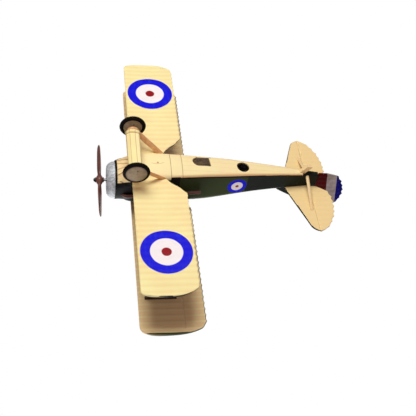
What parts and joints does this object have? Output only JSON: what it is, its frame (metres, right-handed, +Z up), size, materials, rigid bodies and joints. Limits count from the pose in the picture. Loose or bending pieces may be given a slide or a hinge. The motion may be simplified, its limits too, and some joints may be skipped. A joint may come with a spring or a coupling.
{
  "type": "biplane scale model",
  "caption": "Single-seat biplane fighter display model with spinning propeller, rolling wheels, hinged tail and wing surfaces and a belly socket for a stand.",
  "frame": {"origin": "middle of the model's bounding box on the table it stands on, by its wheels and tail skid", "axes": "+X towards the nose, +Y to port, +Z up; the thrust line is pitched nose-up by 11.4 degrees"},
  "size_m": [0.1334, 0.163, 0.0416],
  "materials": {
    "fuselage_paint": "semi-gloss black and dark green",
    "belly_paint": "satin cream",
    "wing_paint": "satin cream below, dark green above",
    "rudder_paint": "satin red, grey and blue bands",
    "strut_brown": "satin dark brown",
    "gear_tan": "satin tan",
    "propeller_brown": "satin brown",
    "bare_metal": "cast, satin",
    "radiator_grey": "satin dark grey",
    "steel": "plain",
    "exhaust_brown": "matt rust brown",
    "tyre_black": "matt",
    "wheel_grey": "satin grey brown",
    "vent_brown": "satin dark brown",
    "cockpit_tan": "satin",
    "gun_black": "satin gunmetal",
    "clear": "clear"
  },
  "bodies": {
    "airframe": {"aileron_hinge_pin_left": "steel", "aileron_hinge_pin_right": "steel", "assembly_screws": "steel", "axle": "steel", "axle_clips": "steel", "axle_fairing": "belly_paint", "belly_pan": "belly_paint", "belly_plug": "belly_paint", "belly_vent": "vent_brown", "cabane_struts": "strut_brown", "chin_panel": "belly_paint", "cockpit_rim": "cockpit_tan", "cockpit_tub": "cockpit_tan", "control_stick": "gun_black", "deck_gun": "gun_black", "exhaust_pipe_left": "exhaust_brown", "exhaust_pipe_right": "exhaust_brown", "filler_cap": "fuselage_paint", "fin": "fuselage_paint", "fuselage_shell": "fuselage_paint", "gear_leg_left": "gear_tan", "gear_leg_right": "gear_tan", "inner_struts_left": "strut_brown", "inner_struts_right": "strut_brown", "instrument_dials": "gun_black", "instrument_panel": "cockpit_tan", "lower_wing": "wing_paint", "nose_cowl": "fuselage_paint", "outer_struts_left": "strut_brown", "outer_struts_right": "strut_brown", "radiator_core": "radiator_grey", "radiator_ring": "bare_metal", "radiator_shutters": "bare_metal", "rudder_hinge_pin": "steel", "seat": "cockpit_tan", "shaft_bearing": "bare_metal", "stand_socket": "vent_brown", "tail_skid": "belly_paint", "tail_struts": "gear_tan", "tailplane": "wing_paint", "upper_wing": "wing_paint", "windscreen": "clear"},
    "propeller_unit": {"propeller": "propeller_brown", "hub_plates": "bare_metal", "propeller_nut": "bare_metal", "propeller_shaft": "steel", "shaft_collar": "bare_metal"},
    "wheel_left": {"wheel_core_left": "wheel_grey", "wheel_cover_left": "wheel_grey", "tyre_left": "tyre_black"},
    "wheel_right": {"wheel_core_right": "wheel_grey", "wheel_cover_right": "wheel_grey", "tyre_right": "tyre_black"},
    "aileron_left": {"aileron_left": "wing_paint"},
    "aileron_right": {"aileron_right": "wing_paint"},
    "elevators": {"elevator_left": "wing_paint", "elevator_right": "wing_paint", "elevator_torque_tube": "steel"},
    "rudder": {"rudder": "rudder_paint"}
  },
  "joints": [
    {"name": "propeller_spin", "type": "hinge", "parent": "airframe", "child": "propeller_unit", "pos_m": [0.0637, 0, 0.03146], "axis": [0.9803, 0, 0.1977], "continuous": true},
    {"name": "wheel_spin_left", "type": "hinge", "parent": "airframe", "child": "wheel_left", "pos_m": [0.05221, 0.0154, 0.0065], "axis": [0, 1, 0], "continuous": true},
    {"name": "wheel_spin_right", "type": "hinge", "parent": "airframe", "child": "wheel_right", "pos_m": [0.05221, -0.0154, 0.0065], "axis": [0, 1, 0], "continuous": true},
    {"name": "aileron_hinge_left", "type": "hinge", "parent": "airframe", "child": "aileron_left", "pos_m": [0.0246, 0.0584, 0.03669], "axis": [0, 1, 0], "range_deg": [-20, 20]},
    {"name": "aileron_hinge_right", "type": "hinge", "parent": "airframe", "child": "aileron_right", "pos_m": [0.0246, -0.0584, 0.03669], "axis": [0, 1, 0], "range_deg": [-20, 20]},
    {"name": "elevator_hinge", "type": "hinge", "parent": "airframe", "child": "elevators", "pos_m": [-0.04433, 0, 0.01325], "axis": [0, 1, 0], "range_deg": [-20, 20]},
    {"name": "rudder_hinge", "type": "hinge", "parent": "airframe", "child": "rudder", "pos_m": [-0.04914, 0, 0.01687], "axis": [-0.1977, 0, 0.9803], "range_deg": [-20, 20]}
  ]
}
